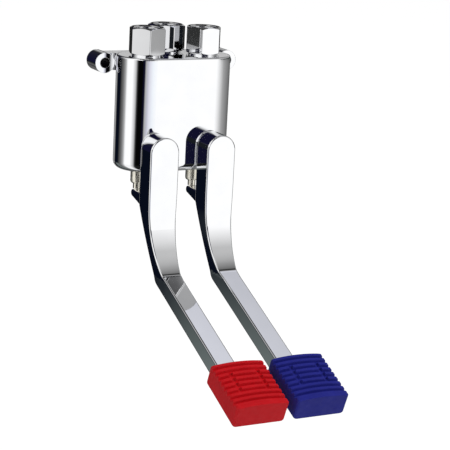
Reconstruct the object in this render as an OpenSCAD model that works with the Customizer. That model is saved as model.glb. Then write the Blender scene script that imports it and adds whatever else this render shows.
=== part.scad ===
// Double foot pedal tap valve for a wall, hot on the left and cold on the right.
// Origin: on the wall, midway between the two wall screws. +X right, +Y into the wall, +Z up.

/* [Body] */
// Distance between the hot and the cold valve
valve_pitch = 46.6; // [44:0.2:60]
// Radius of the body's rounded ends
body_r = 22; // [21:0.5:27]
// Distance from the wall to the centres of the rounded ends
body_axis = 30; // [28:0.5:36]
// Height of the body
body_h = 86.4; // [82:0.2:110]
// Height of the body's top above the wall screws
body_top = 7.4; // [5:0.2:12]
// Width of the flat block at the back of the body
back_w = 60; // [50:1:62]
// Fillet round the bottom edge
bottom_fillet = 6; // [2:0.5:7]
// Fillet round the top edge
top_fillet = 1.5; // [0.5:0.25:3]

/* [Wall ears] */
// Distance between the wall screws
ear_pitch = 102; // [100:1:130]
// Diameter of the ear bosses
ear_d = 15.5; // [14:0.5:20]
// Diameter of the screw holes
ear_hole_d = 7.8; // [5:0.2:9]
// Length of the ear bosses
ear_l = 18; // [14:0.5:24]
// Depth of the web that carries a boss
web_depth = 15; // [10:0.5:16]
// Height of the web
web_h = 13; // [10:0.5:14]
// Radius of the hollow at the web's neck
neck_r = 5.5; // [3:0.5:6]

/* [Connectors] */
// Distance from the wall to the two inlets
inlet_axis = 31.5; // [30:0.5:34]
// Distance from the wall to the outlet
outlet_axis = 14.5; // [14:0.25:16]
// Hex size across the flats
hex_af = 25; // [24:0.5:26]
// Height of a connector above the body
connector_h = 21.2; // [19:0.2:30]
// Height of the round collar under the hex
collar_h = 1; // [0.5:0.25:2]
// Bore of the female pipe thread
thread_bore_d = 18.6; // [16:0.1:19]
// Depth of the female pipe thread
thread_l = 15; // [12:0.5:16]
// Diameter of the tail that screws into the body
tail_d = 18; // [16:0.5:19]
// Length of the tail
tail_l = 11; // [8:0.5:13]
// Diameter of the waterways
waterway_d = 12.4; // [10:0.2:13]
// Diameter of a sealing washer
seal_washer_d = 22.2; // [21:0.2:23]
// Thickness of a sealing washer
seal_washer_t = 1.5; // [1:0.25:2.5]
// Diameter of a strainer
strainer_d = 16; // [15:0.25:17]
// Thickness of a strainer
strainer_t = 1.8; // [1:0.1:2]
// Diameter of the strainer's holes
strainer_hole_d = 1.6; // [1:0.1:2]

/* [Valves] */
// Distance from the wall to the valve stems
valve_axis = 22.5; // [21:0.25:24]
// Diameter of the lower valve chamber
chamber_d = 18.4; // [17:0.2:19]
// Diameter of the upper valve chamber
spring_chamber_d = 15.6; // [14:0.2:16]
// Height of the lower valve chamber
chamber_h = 15; // [13:0.5:20]
// Height of the upper valve chamber
spring_chamber_h = 34; // [30:0.5:38]
// Diameter of the passage from the valves to the outlet
cross_d = 10; // [8:0.5:11]
// Height of the seat bush
seat_h = 6; // [4:0.5:8]
// Bore of the seat
seat_bore_d = 9; // [8:0.2:9.4]
// Height of the seat's rim
rim_h = 0.8; // [0.5:0.1:1.2]
// Diameter of the valve stem
stem_d = 6; // [5:0.2:6.4]
// Diameter of the valve head and its washer
head_d = 12; // [11:0.2:13]
// Thickness of the valve head
head_t = 2.5; // [2:0.25:4]
// Thickness of the rubber valve washer
valve_washer_t = 3; // [2:0.25:4]
// Length of the stub that centres the spring
stub_l = 5.5; // [3:0.5:8]
// Wire of the return spring
spring_wire_d = 1.2; // [0.8:0.1:1.4]
// Mean diameter of the return spring
spring_d = 9.2; // [8.4:0.2:10]
// Turns of the return spring
spring_turns = 7; // [5:1:9]

/* [Glands] */
// Diameter of the gland's screwed body
gland_d = 19; // [19:0.1:19.4]
// Length of the gland's screwed body
gland_l = 12; // [10:0.5:13]
// Diameter of the gland's nose
nose_d = 10.4; // [9.8:0.2:11.4]
// Length of the gland's nose
nose_l = 13.5; // [11:0.5:14]
// Pitch of the nose's thread rings
ring_pitch = 1.5; // [1:0.25:2]
// Thickness of the stem's O-ring
oring_t = 1.9; // [1.6:0.1:2.2]
// Thickness of the washer above the O-ring
retainer_t = 1.2; // [0.8:0.1:2]

/* [Pivot] */
// Distance from the wall to the pivot pin
pivot_axis = 44; // [42.5:0.25:45]
// Height of the pivot pin above the body's bottom
pivot_rise = 9; // [8.5:0.25:12]
// Diameter of the pivot pin
pin_d = 8; // [6:0.25:8.5]
// Wall of the pivot bushes
bush_wall = 1.5; // [1:0.25:2]
// Radius of the lever's eye
eye_r = 8; // [7.8:0.1:8.4]
// Width of the lever's tongue
tongue_w = 12; // [10:0.5:14]
// Thickness of a thrust washer
spacer_t = 0.9; // [0.5:0.1:1.5]
// Diameter of the screw that locks the pin
grub_d = 5; // [4:0.5:6]
// Depth of the groove that the screw bites in
grub_groove = 0.6; // [0.3:0.1:1]

/* [Levers] */
// Width of a lever at its hub
hub_w = 23.2; // [20:0.2:25]
// Distance from the wall to the front of the hub
hub_front = 72; // [69:0.5:78]
// Height of the hub's top above the pivot
hub_rise = 22; // [18:0.5:30]
// Gap between the hub and the body
hub_gap = 0.8; // [0.7:0.1:1.5]
// Drop from the pivot to where the front face starts to bend
bend_drop = 34; // [30:1:50]
// Drop from the pivot to where the rear face starts to slope
rear_drop = 32; // [31:0.5:40]
// Slope of the rear face from the vertical
rear_slope = 25; // [22:0.5:27]
// Radius of the bend's front face
bend_r = 58; // [50:1:64]
// Turn of the bend as far as the crease
bend_turn = 48.8; // [46:0.2:56]
// Rounding at the outside of the knee
knee_r = 9; // [4:0.5:12]
// Fall of the lower leg from the horizontal
leg_slope = 22; // [16:0.5:26]
// Length of the lower leg from the crease to the pad
leg_l = 114.5; // [90:0.5:140]
// Width of the lower leg
leg_w = 15.2; // [13:0.2:18]
// Thickness of the lower leg
leg_t = 13; // [10:0.25:15]
// Radius of the rounded nose of the heel
heel_r = 2.8; // [2.4:0.1:3.4]
// Width of the heel
heel_w = 9; // [7:0.5:11]
// Set of the heel's nose to the front of the stem
heel_set = 2; // [1:0.25:2.5]
// Length of the stem that shows under the gland at rest
stem_show = 4.1; // [4:0.1:5]

/* [Pads] */
// Width of a pad
pad_w = 39.5; // [34:0.5:42]
// Length of a pad
pad_l = 45; // [36:1:60]
// Thickness of a pad
pad_t = 18.6; // [16:0.2:24]
// Height of a pad's top above the leg's top face
pad_rise = 13.8; // [11:0.1:17]
// Crown of a pad across its width
pad_crown = 1.8; // [0.5:0.1:2.5]
// Rounding along a pad's bottom edges
pad_round = 2; // [1:0.25:3.5]
// Number of ribs across a pad
rib_count = 8; // [5:1:10]
// Depth of the grooves between the ribs
groove_depth = 2; // [0.8:0.1:2.4]
// Width of the grooves between the ribs
groove_w = 2.2; // [1:0.1:2.8]
// Thickness of the foot plate
plate_t = 6; // [4:0.25:8]
// Margin of rubber round the foot plate
plate_margin = 3; // [2:0.25:4]

/* [Fits] */
// Running clearance on a radius
run_clear = 0.05; // [0.02:0.01:0.1]
// Clearance of pieces that are screwed or pressed together
fit_clear = 0.05; // [0.02:0.01:0.1]
// Clearance of the rubber pads on the foot plates
pad_clear = 0.15; // [0.05:0.05:0.3]
// Clearance round the lever's eye in its slot
eye_clear = 0.6; // [0.4:0.1:0.8]
// Gap between the heel and the stem at rest
heel_gap = 0.2; // [0.1:0.05:0.3]
// Gap between the valve washer and its seat
seat_gap = 0.05; // [0.02:0.01:0.1]
// Gap at each end of the return spring
spring_gap = 0.2; // [0.1:0.05:0.3]

/* [Hidden] */
$fn = 64;
eps = 0.1;

hot_x = -valve_pitch / 2;
cold_x = valve_pitch / 2;
body_bottom = body_top - body_h;
body_front = -body_axis - body_r;

// Levels along a valve, from the body's bottom up
gland_top = body_bottom + gland_l;
seat_bottom = gland_top + chamber_h;
seat_top = seat_bottom + seat_h;
rim_top = seat_top + rim_h;
ceiling = seat_top + spring_chamber_h;
washer_bottom = rim_top + seat_gap;
head_bottom = washer_bottom + valve_washer_t;
head_top = head_bottom + head_t;
nose_bottom = body_bottom - nose_l;
stem_bottom = nose_bottom - stem_show;
cross_z = gland_top + chamber_h / 2;
cross_y = -(valve_axis + outlet_axis) / 2;
inlet_floor = ceiling - spring_chamber_h / 2;

// Levels along a connector, from the body's top up
tail_bottom = body_top - tail_l;
connector_top = body_top + connector_h;
thread_floor = connector_top - thread_l;
hex_r = hex_af / sqrt(3);
hex_chamfer_slope = 30;
hex_face_step = 0.4;
hex_face_r = hex_af / 2 - hex_face_step;
hex_rim_r = hex_r + hex_face_step;
strainer_play = 0.2;
strainer_recess = strainer_t + strainer_play;
washer_recess_d = seal_washer_d + 2 * fit_clear;

// Turn of each hex as it was tightened, counted from a corner on +X
hot_hex_turn = 15.5;
cold_hex_turn = 1;
outlet_hex_turn = 30;

// Pivot and lever
pivot_y = -pivot_axis;
pivot_z = body_bottom + pivot_rise;
bush_r = pin_d / 2 + bush_wall;
slot_w = tongue_w + 2 * spacer_t + 4 * run_clear;
slot_r = eye_r + eye_clear;
pin_blind_wall = 2;
cheek_reach = sqrt(pow(body_r, 2) - pow(pivot_axis + pin_d / 2 - body_axis, 2));
pin_left = hot_x - cheek_reach + pin_blind_wall;
front_y = -hub_front;
rear_y = body_front - hub_gap;
hub_r = hub_w / 2;
hub_centre_z = pivot_z + hub_rise - hub_r;
bend_z = pivot_z - bend_drop;
rear_z = pivot_z - rear_drop;
crease_y = front_y - bend_r + bend_r * cos(bend_turn);
crease_z = bend_z - bend_r * sin(bend_turn);
heel_top = stem_bottom - heel_gap;
heel_y = -valve_axis - heel_set;
heel_z = heel_top - heel_r;
taper_z = bend_z + bend_drop / 2;
taper_drop = hub_r - leg_w / 2;
taper_end = crease_z - leg_t / 4;
taper_h = taper_z - taper_end;
taper_r = (pow(taper_h, 2) + pow(taper_drop, 2)) / (2 * taper_drop);
far = 400;

// Directions in the side view, as [forward-back, up-down]
leg_dir = [-cos(leg_slope), -sin(leg_slope)];
leg_normal = [-sin(leg_slope), cos(leg_slope)];
rear_dir = [-sin(rear_slope), -cos(rear_slope)];
hub_top = pivot_z + hub_rise + eps;
crease = [crease_y, crease_z];
bend_start = [front_y, bend_z];
rear_start = [rear_y, rear_z];
leg_under = crease - leg_t * leg_normal;
knee_along = cross2(leg_under - rear_start, leg_dir) / cross2(rear_dir, leg_dir);
knee = rear_start + knee_along * rear_dir;
leg_back = crease - cross2(rear_start - crease, rear_dir) / cross2(rear_dir, leg_dir) * leg_dir;
bend_foot = crease + leg_t / 4 * leg_dir - leg_t / 2 * leg_normal;
rear_foot = knee - leg_t / 2 * rear_dir;
foot_l = pad_l - plate_margin;
rib_share = 0.6;
rib_l = foot_l * rib_share;
plate_sink = 0.3;
foot_start = crease + leg_l * leg_dir;
foot_rib_end = crease + (leg_l + rib_l) * leg_dir;

function cross2(a, b) = a[0] * b[1] - a[1] * b[0];
function unit(v) = v / norm(v);

// Points of the arc that rounds a corner, from its edge along u to its edge along w
function corner_arc(corner, u, w, r, steps) =
    let (half = acos(u * w) / 2, centre = corner + unit(u + w) * r / sin(half),
        first = corner + u * r / tan(half) - centre, last = corner + w * r / tan(half) - centre,
        start = atan2(first[1], first[0]), sweep = sign(cross2(first, last)) * (180 - 2 * half))
    [for (i = [0:steps]) centre + r * [cos(start + sweep * i / steps), sin(start + sweep * i / steps)]];

chrome = [0.86, 0.87, 0.9];
brass = [0.78, 0.66, 0.42];
steel = [0.62, 0.63, 0.65];
black_rubber = [0.1, 0.1, 0.1];
red_rubber = [0.78, 0.1, 0.13];
blue_rubber = [0.14, 0.17, 0.52];
fibre = [0.35, 0.12, 0.08];
nylon = [0.9, 0.9, 0.86];

// Extrude a side view, drawn as [y, z], across X about the plane x
module across(x, w) {
    translate([x - w / 2, 0, 0])
        rotate([90, 0, 90])
            linear_extrude(w)
                children();
}

// Wedge between a corner's two edges and the arc that rounds it
module corner_wedge(corner, u, w, r) {
    half = acos(u * w) / 2;
    reach = r / tan(half);
    centre = corner + unit(u + w) * r / sin(half);
    difference() {
        polygon([corner, corner + u * reach, centre, corner + w * reach]);
        translate(centre)
            circle(r);
    }
}

module tube_z(x, y, z0, z1, d) {
    translate([x, y, z0])
        cylinder(h = z1 - z0, d = d);
}

// Half section of the body's rounded end, with its edge fillets
module end_section() {
    difference() {
        translate([0, body_bottom])
            square([body_r, body_h]);
        corner_wedge([body_r, body_bottom], [-1, 0], [0, 1], bottom_fillet);
        corner_wedge([body_r, body_top], [-1, 0], [0, -1], top_fillet);
    }
}

module body_shell() {
    for (x = [hot_x, cold_x])
        translate([x, -body_axis, 0])
            rotate_extrude()
                end_section();
    across(0, valve_pitch)
        translate([-body_axis, 0])
            union() {
                end_section();
                mirror([1, 0])
                    end_section();
            }
    translate([-back_w / 2, -body_axis, body_bottom + bottom_fillet])
        cube([back_w, body_axis, body_h - bottom_fillet - top_fillet]);
}

module ear(side) {
    x = side * ear_pitch / 2;
    inner = side * back_w / 4;
    difference() {
        translate([min(x, inner), -web_depth, -web_h / 2])
            cube([abs(x - inner), web_depth, web_h]);
        tube_z(side * (ear_pitch / 2 - ear_d / 2), -web_depth - neck_r / 2, -web_h, web_h, 2 * neck_r);
    }
    translate([x, 0, 0])
        rotate([90, 0, 0])
            cylinder(h = ear_l, d = ear_d);
}

module lever_slot(x) {
    across(x, slot_w) {
        translate([pivot_y, pivot_z])
            circle(slot_r);
        translate([body_front - eps, body_bottom - eps])
            square([pivot_y - body_front + eps, pivot_rise + slot_r + eps]);
        translate([body_front - eps, body_bottom - eps])
            square([pivot_y + slot_r - body_front + eps, pivot_rise + eps]);
    }
}

module port(x, y, floor) {
    tube_z(x, y, body_top - seal_washer_t, body_top + eps, washer_recess_d);
    tube_z(x, y, tail_bottom - fit_clear, body_top, tail_d + 2 * fit_clear);
    tube_z(x, y, floor, body_top, waterway_d);
}

module valve_ways(x) {
    port(x, -inlet_axis, inlet_floor);
    tube_z(x, -valve_axis, seat_top, ceiling, spring_chamber_d);
    tube_z(x, -valve_axis, gland_top - eps, seat_top, chamber_d);
    tube_z(x, -valve_axis, body_bottom - eps, gland_top, gland_d + 2 * fit_clear);
    lever_slot(x);
}

module valve_body() {
    color(chrome)
        difference() {
            union() {
                body_shell();
                ear(-1);
                ear(1);
            }
            for (x = [hot_x, cold_x])
                valve_ways(x);
            port(0, -outlet_axis, cross_z - cross_d / 2);
            translate([hot_x, cross_y, cross_z])
                rotate([0, 90, 0])
                    cylinder(h = valve_pitch, d = cross_d);
            for (side = [-1, 1])
                translate([side * ear_pitch / 2, eps, 0])
                    rotate([90, 0, 0])
                        cylinder(h = ear_l + 2 * eps, d = ear_hole_d);
            translate([pin_left - fit_clear, pivot_y, pivot_z])
                rotate([0, 90, 0])
                    cylinder(h = far, d = pin_d + 2 * fit_clear);
            tube_z(0, pivot_y, body_bottom - eps, pivot_z, grub_d + 2 * fit_clear);
        }
}

// Hex with a chamfer at each end, on a round collar, with a screwed tail
module connector(x, y, turn, recess) {
    hex_h = connector_h - collar_h;
    rim_drop = (hex_rim_r - hex_face_r) * tan(hex_chamfer_slope);
    translate([x, y, 0])
        difference() {
            union() {
                translate([0, 0, body_top + collar_h])
                    intersection() {
                        rotate([0, 0, turn])
                            cylinder(h = hex_h, r = hex_r, $fn = 6);
                        rotate_extrude()
                            polygon([[0, 0], [hex_face_r, 0], [hex_rim_r, rim_drop],
                                [hex_rim_r, hex_h - rim_drop], [hex_face_r, hex_h], [0, hex_h]]);
                    }
                tube_z(0, 0, body_top, body_top + collar_h + eps, seal_washer_d);
                tube_z(0, 0, tail_bottom, body_top + eps, tail_d);
            }
            tube_z(0, 0, thread_floor, connector_top + eps, thread_bore_d);
            tube_z(0, 0, thread_floor - recess, thread_floor + eps, strainer_d + 2 * fit_clear);
            tube_z(0, 0, tail_bottom - eps, thread_floor + eps, waterway_d);
        }
}

module inlet_connector_hot() {
    color(chrome)
        connector(hot_x, -inlet_axis, hot_hex_turn, strainer_recess);
}

module inlet_connector_cold() {
    color(chrome)
        connector(cold_x, -inlet_axis, cold_hex_turn, strainer_recess);
}

module outlet_connector() {
    color(chrome)
        connector(0, -outlet_axis, outlet_hex_turn, 0);
}

module ring(x, y, z, h, outer_d, inner_d) {
    difference() {
        tube_z(x, y, z, z + h, outer_d);
        tube_z(x, y, z - eps, z + h + eps, inner_d);
    }
}

module connector_washers() {
    seats = [[hot_x, -inlet_axis], [cold_x, -inlet_axis], [0, -outlet_axis]];
    color(fibre)
        for (s = seats)
            ring(s[0], s[1], body_top - seal_washer_t, seal_washer_t, seal_washer_d, tail_d + 2 * fit_clear);
}

// Disc with a centre hole and two rings of holes
module strainer(x) {
    ring_step = strainer_d / 6;
    disc_bottom = thread_floor - strainer_recess;
    color(steel)
        difference() {
            tube_z(x, -inlet_axis, disc_bottom, disc_bottom + strainer_t, strainer_d);
            for (k = [0:2])
                for (i = [0:max(1, 6 * k) - 1])
                    tube_z(x + k * ring_step * cos(360 * i / max(1, 6 * k)),
                        -inlet_axis + k * ring_step * sin(360 * i / max(1, 6 * k)),
                        disc_bottom - eps, thread_floor, strainer_hole_d);
        }
}

module seat(x) {
    rim_wall = 1;
    color(brass)
        difference() {
            union() {
                tube_z(x, -valve_axis, seat_bottom, seat_top, chamber_d - 2 * fit_clear);
                tube_z(x, -valve_axis, seat_top - eps, rim_top, seat_bore_d + 2 * rim_wall);
            }
            tube_z(x, -valve_axis, seat_bottom - eps, rim_top + eps, seat_bore_d);
        }
}

module stem(x) {
    stub_d = spring_d - 3 * spring_wire_d;
    color(brass)
        translate([x, -valve_axis, 0]) {
            tube_z(0, 0, stem_bottom, head_bottom + eps, stem_d);
            tube_z(0, 0, head_bottom, head_top, head_d);
            tube_z(0, 0, head_top - eps, head_top + stub_l, stub_d);
        }
}

module valve_washer(x) {
    color(black_rubber)
        ring(x, -valve_axis, washer_bottom, valve_washer_t, head_d, stem_d + 2 * fit_clear);
}

// Points of one ring of the spring's wire, at a share t of its length
spring_sides = 6;
spring_rings = spring_turns * 16;
spring_z0 = head_top + spring_gap + spring_wire_d / 2;
spring_z1 = ceiling - spring_gap - spring_wire_d / 2;
function spring_ring(t) = [for (i = [0:spring_sides - 1])
    let (turn = 360 * spring_turns * t, a = 360 * i / spring_sides,
        r = spring_d / 2 + spring_wire_d / 2 * cos(a))
    [r * cos(turn), r * sin(turn), spring_z0 + (spring_z1 - spring_z0) * t + spring_wire_d / 2 * sin(a)]];

module return_spring(x) {
    n = spring_sides;
    last = spring_rings * n;
    points = [for (k = [0:spring_rings]) each spring_ring(k / spring_rings)];
    sides = [for (k = [0:spring_rings - 1]) for (i = [0:n - 1])
        let (a = k * n + i, b = k * n + (i + 1) % n)
        each [[a, a + n, b], [b, a + n, b + n]]];
    caps = [for (i = [1:n - 2]) each [[0, i, i + 1], [last, last + i + 1, last + i]]];
    color(steel)
        translate([x, -valve_axis, 0])
            polyhedron(points, concat(sides, caps));
}
echo(spring_gap_between_turns = (spring_z1 - spring_z0) / spring_turns - spring_wire_d);

seal_d = stem_d + 2 * run_clear + 2 * oring_t;
seal_pocket_h = oring_t + retainer_t + fit_clear;

// Screwed body with a ringed nose, bored for the stem and its O-ring
module gland(x) {
    ring_depth = 0.45;
    plain_end = 0.5;
    rings = floor((nose_l - 2 * plain_end) / ring_pitch);
    color(brass)
        translate([x, -valve_axis, 0])
            difference() {
                union() {
                    tube_z(0, 0, body_bottom, gland_top, gland_d);
                    tube_z(0, 0, nose_bottom, body_bottom + eps, nose_d);
                }
                for (k = [0:rings - 1])
                    translate([0, 0, nose_bottom + plain_end + k * ring_pitch])
                        rotate_extrude()
                            polygon([[nose_d / 2 - ring_depth, ring_pitch / 2], [nose_d / 2 + eps, 0],
                                [nose_d / 2 + eps, ring_pitch]]);
                tube_z(0, 0, nose_bottom - eps, gland_top + eps, stem_d + 2 * run_clear);
                tube_z(0, 0, gland_top - seal_pocket_h, gland_top + eps, seal_d + 2 * fit_clear);
            }
}

module stem_seal(x) {
    color(black_rubber)
        translate([x, -valve_axis, gland_top - seal_pocket_h + oring_t / 2])
            rotate_extrude()
                translate([seal_d / 2 - oring_t / 2, 0])
                    circle(d = oring_t);
}

module seal_retainer(x) {
    color(brass)
        ring(x, -valve_axis, gland_top - retainer_t, retainer_t, seal_d, stem_d + 2 * run_clear);
}

// Cross pin, dressed flush with the body's right end
module pivot_pin() {
    groove_play = 1;
    pin_groove_w = grub_d + groove_play;
    color(steel)
        intersection() {
            difference() {
                translate([pin_left, pivot_y, pivot_z])
                    rotate([0, 90, 0])
                        cylinder(h = far, d = pin_d);
                translate([-pin_groove_w / 2, pivot_y, pivot_z])
                    rotate([0, 90, 0])
                        difference() {
                            cylinder(h = pin_groove_w, d = 2 * pin_d);
                            translate([0, 0, -eps])
                                cylinder(h = pin_groove_w + 2 * eps, d = pin_d - 2 * grub_groove);
                        }
            }
            union() {
                tube_z(cold_x, -body_axis, body_bottom, body_top, 2 * body_r);
                translate([-far, -far, body_bottom])
                    cube([far + cold_x, far, body_h]);
            }
        }
}

module pivot_grub_screw() {
    socket_af = grub_d / 2;
    socket_h = 2.5;
    grub_sink = 0.5;
    foot = body_bottom + grub_sink;
    color(steel)
        difference() {
            tube_z(0, pivot_y, foot, pivot_z - pin_d / 2 + grub_groove - fit_clear, grub_d);
            translate([0, pivot_y, foot - eps])
                cylinder(h = socket_h, r = socket_af / sqrt(3), $fn = 6);
        }
}

module along_pin(x, w, d) {
    translate([x - w / 2, pivot_y, pivot_z])
        rotate([0, 90, 0])
            cylinder(h = w, d = d);
}

module pivot_bush(x) {
    color(brass)
        difference() {
            along_pin(x, tongue_w, 2 * bush_r - 2 * fit_clear);
            along_pin(x, tongue_w + eps, pin_d + 2 * run_clear);
        }
}

module pivot_spacers() {
    spacer_x = (tongue_w + spacer_t) / 2 + run_clear;
    spacer_inset = 1;
    color(nylon)
        for (x = [hot_x, cold_x])
            for (side = [-1, 1])
                difference() {
                    along_pin(x + side * spacer_x, spacer_t, 2 * (eye_r - spacer_inset));
                    along_pin(x + side * spacer_x, spacer_t + eps, pin_d + 2 * fit_clear);
                }
}

// Lever seen from the side: straight front, bend to a crease, then the sloping leg
module lever_side() {
    knee_steps = 8;
    difference() {
        polygon([[front_y, hub_top], bend_start, [bend_foot[0], bend_z], bend_foot, rear_foot, rear_start,
            [rear_y, hub_top]]);
        translate(bend_start - [bend_r, 0])
            circle(bend_r, $fn = 180);
    }
    polygon(concat([leg_back, foot_rib_end, foot_rib_end - (pad_t - pad_rise) * leg_normal,
        foot_start - leg_t * leg_normal], corner_arc(knee, leg_dir, -rear_dir, knee_r, knee_steps)));
}

// Half width of the lever at a drop d below the start of its taper
function taper_half(d) = hub_r - taper_r + sqrt(pow(taper_r, 2) - pow(d, 2));

// Lever seen from the front: round top, straight hub, sides that draw in to the leg
module lever_front() {
    steps = 12;
    right_side = [for (i = [0:steps]) let (d = taper_h * i / steps) [taper_half(d), taper_z - d]];
    left_side = [for (i = [steps:-1:0]) let (d = taper_h * i / steps) [-taper_half(d), taper_z - d]];
    translate([0, hub_centre_z])
        circle(hub_r);
    polygon(concat([[hub_r, hub_centre_z]], right_side, [[leg_w / 2, -far], [-leg_w / 2, -far]],
        left_side, [[-hub_r, hub_centre_z]]));
}

// Flat arm under the body with a rounded nose below the stem
module heel(x) {
    nose_rise = heel_r / 8;
    across(x, heel_w) {
        translate([heel_y, heel_z])
            circle(heel_r);
        polygon([[heel_y, heel_top - nose_rise], [heel_y, heel_z - heel_r + nose_rise],
            [rear_y - heel_r, rear_z - rear_drop / 4], [rear_y - heel_r, heel_top + 2 * heel_r],
            [rear_y, heel_top + 2 * heel_r], [rear_y + 2 * heel_r, heel_top - nose_rise]]);
    }
}

// Put children in the frame of the lower leg: origin at the crease, leg along -Y, top face at z = 0
module on_leg(x) {
    translate([x, crease_y, crease_z])
        rotate([leg_slope, 0, 0])
            children();
}

module lever(x) {
    color(chrome)
        difference() {
            union() {
                intersection() {
                    across(x, 2 * hub_w)
                        lever_side();
                    translate([x, 0, 0])
                        rotate([90, 0, 0])
                            linear_extrude(far)
                                lever_front();
                }
                across(x, tongue_w) {
                    translate([pivot_y, pivot_z])
                        circle(eye_r);
                    translate([rear_y - eye_r, pivot_z - eye_r])
                        square([pivot_y - rear_y + eye_r, 2 * eye_r]);
                }
                heel(x);
                on_leg(x)
                    translate([-(pad_w / 2 - plate_margin), -leg_l - foot_l, -plate_sink])
                        cube([pad_w - 2 * plate_margin, foot_l - plate_margin / 2, plate_t + plate_sink]);
            }
            along_pin(x, far, 2 * bush_r);
        }
}

// Pad's section across its width: crowned top, rounded bottom corners
module pad_section() {
    crown_r = (pow(pad_w / 2, 2) + pow(pad_crown, 2)) / (2 * pad_crown);
    intersection() {
        difference() {
            translate([-pad_w / 2, pad_rise - pad_t])
                square([pad_w, pad_t]);
            for (side = [-1, 1])
                corner_wedge([side * pad_w / 2, pad_rise - pad_t], [-side, 0], [0, 1], pad_round);
        }
        translate([0, pad_rise - crown_r])
            circle(crown_r, $fn = 180);
    }
}

module pad(x, tone) {
    rib_pitch = pad_l / (rib_count + 1);
    hollow_w = pad_w - 2 * plate_margin + 2 * pad_clear;
    color(tone)
        on_leg(x)
            difference() {
                translate([0, -leg_l, 0])
                    rotate([90, 0, 0])
                        linear_extrude(pad_l)
                            pad_section();
                for (i = [1:rib_count])
                    translate([-pad_w / 2 - eps, -leg_l - i * rib_pitch, pad_rise - pad_crown - groove_depth])
                        cube([pad_w + 2 * eps, groove_w, groove_depth + pad_crown + eps]);
                translate([-hollow_w / 2, -leg_l - foot_l - pad_clear, -plate_sink - pad_clear])
                    cube([hollow_w, foot_l + pad_clear + eps, plate_t + plate_sink + 2 * pad_clear]);
                translate([-leg_w / 2 - pad_clear, -leg_l - rib_l - pad_clear, pad_rise - pad_t - eps])
                    cube([leg_w + 2 * pad_clear, rib_l + pad_clear + eps, pad_t - pad_rise + 2 * eps]);
            }
}

valve_body();
inlet_connector_hot();
inlet_connector_cold();
outlet_connector();
connector_washers();
strainer(hot_x);  // inlet_strainer_hot
strainer(cold_x);  // inlet_strainer_cold
seat(hot_x);  // valve_seat_hot
seat(cold_x);  // valve_seat_cold
stem(hot_x);  // valve_stem_hot
stem(cold_x);  // valve_stem_cold
valve_washer(hot_x);  // valve_washer_hot
valve_washer(cold_x);  // valve_washer_cold
return_spring(hot_x);  // return_spring_hot
return_spring(cold_x);  // return_spring_cold
gland(hot_x);  // gland_hot
gland(cold_x);  // gland_cold
stem_seal(hot_x);  // stem_seal_hot
stem_seal(cold_x);  // stem_seal_cold
seal_retainer(hot_x);  // seal_retainer_hot
seal_retainer(cold_x);  // seal_retainer_cold
pivot_pin();
pivot_grub_screw();
pivot_bush(hot_x);  // pivot_bush_hot
pivot_bush(cold_x);  // pivot_bush_cold
pivot_spacers();
lever(hot_x);  // pedal_lever_hot
lever(cold_x);  // pedal_lever_cold
pad(hot_x, red_rubber);  // pedal_pad_hot
pad(cold_x, blue_rubber);  // pedal_pad_cold
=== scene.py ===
"""Looks of the double foot pedal tap valve: dressed pieces, materials, studio and camera."""
import math

import bmesh
import bpy
from mathutils import Matrix, Vector


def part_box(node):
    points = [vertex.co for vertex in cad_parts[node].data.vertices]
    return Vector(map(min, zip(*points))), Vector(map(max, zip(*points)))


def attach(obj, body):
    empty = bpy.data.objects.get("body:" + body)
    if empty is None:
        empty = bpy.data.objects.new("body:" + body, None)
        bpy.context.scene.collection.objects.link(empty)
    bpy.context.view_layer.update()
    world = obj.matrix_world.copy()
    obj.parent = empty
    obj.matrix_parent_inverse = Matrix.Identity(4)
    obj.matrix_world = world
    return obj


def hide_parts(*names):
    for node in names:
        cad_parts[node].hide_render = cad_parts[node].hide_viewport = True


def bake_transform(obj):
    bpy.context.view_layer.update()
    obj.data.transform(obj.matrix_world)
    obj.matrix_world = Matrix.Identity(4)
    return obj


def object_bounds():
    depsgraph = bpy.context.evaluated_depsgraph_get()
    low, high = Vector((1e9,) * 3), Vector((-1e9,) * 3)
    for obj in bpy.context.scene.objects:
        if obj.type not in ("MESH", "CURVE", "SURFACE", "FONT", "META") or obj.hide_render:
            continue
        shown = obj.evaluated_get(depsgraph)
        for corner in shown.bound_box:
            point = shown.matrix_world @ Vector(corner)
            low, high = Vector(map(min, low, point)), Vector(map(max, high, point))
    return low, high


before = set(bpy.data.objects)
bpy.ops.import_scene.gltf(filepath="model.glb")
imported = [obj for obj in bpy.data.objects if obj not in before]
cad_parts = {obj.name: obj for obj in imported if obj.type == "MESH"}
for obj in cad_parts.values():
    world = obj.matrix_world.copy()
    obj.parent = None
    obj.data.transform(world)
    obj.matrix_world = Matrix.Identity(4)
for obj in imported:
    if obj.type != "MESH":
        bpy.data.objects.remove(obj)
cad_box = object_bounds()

MM = 0.001

# The solids' own places and sizes, in millimetres and degrees
HOT_X, COLD_X = (sum(c.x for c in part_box(n)) / 2 / MM for n in ("pedal_lever_hot", "pedal_lever_cold"))

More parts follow.
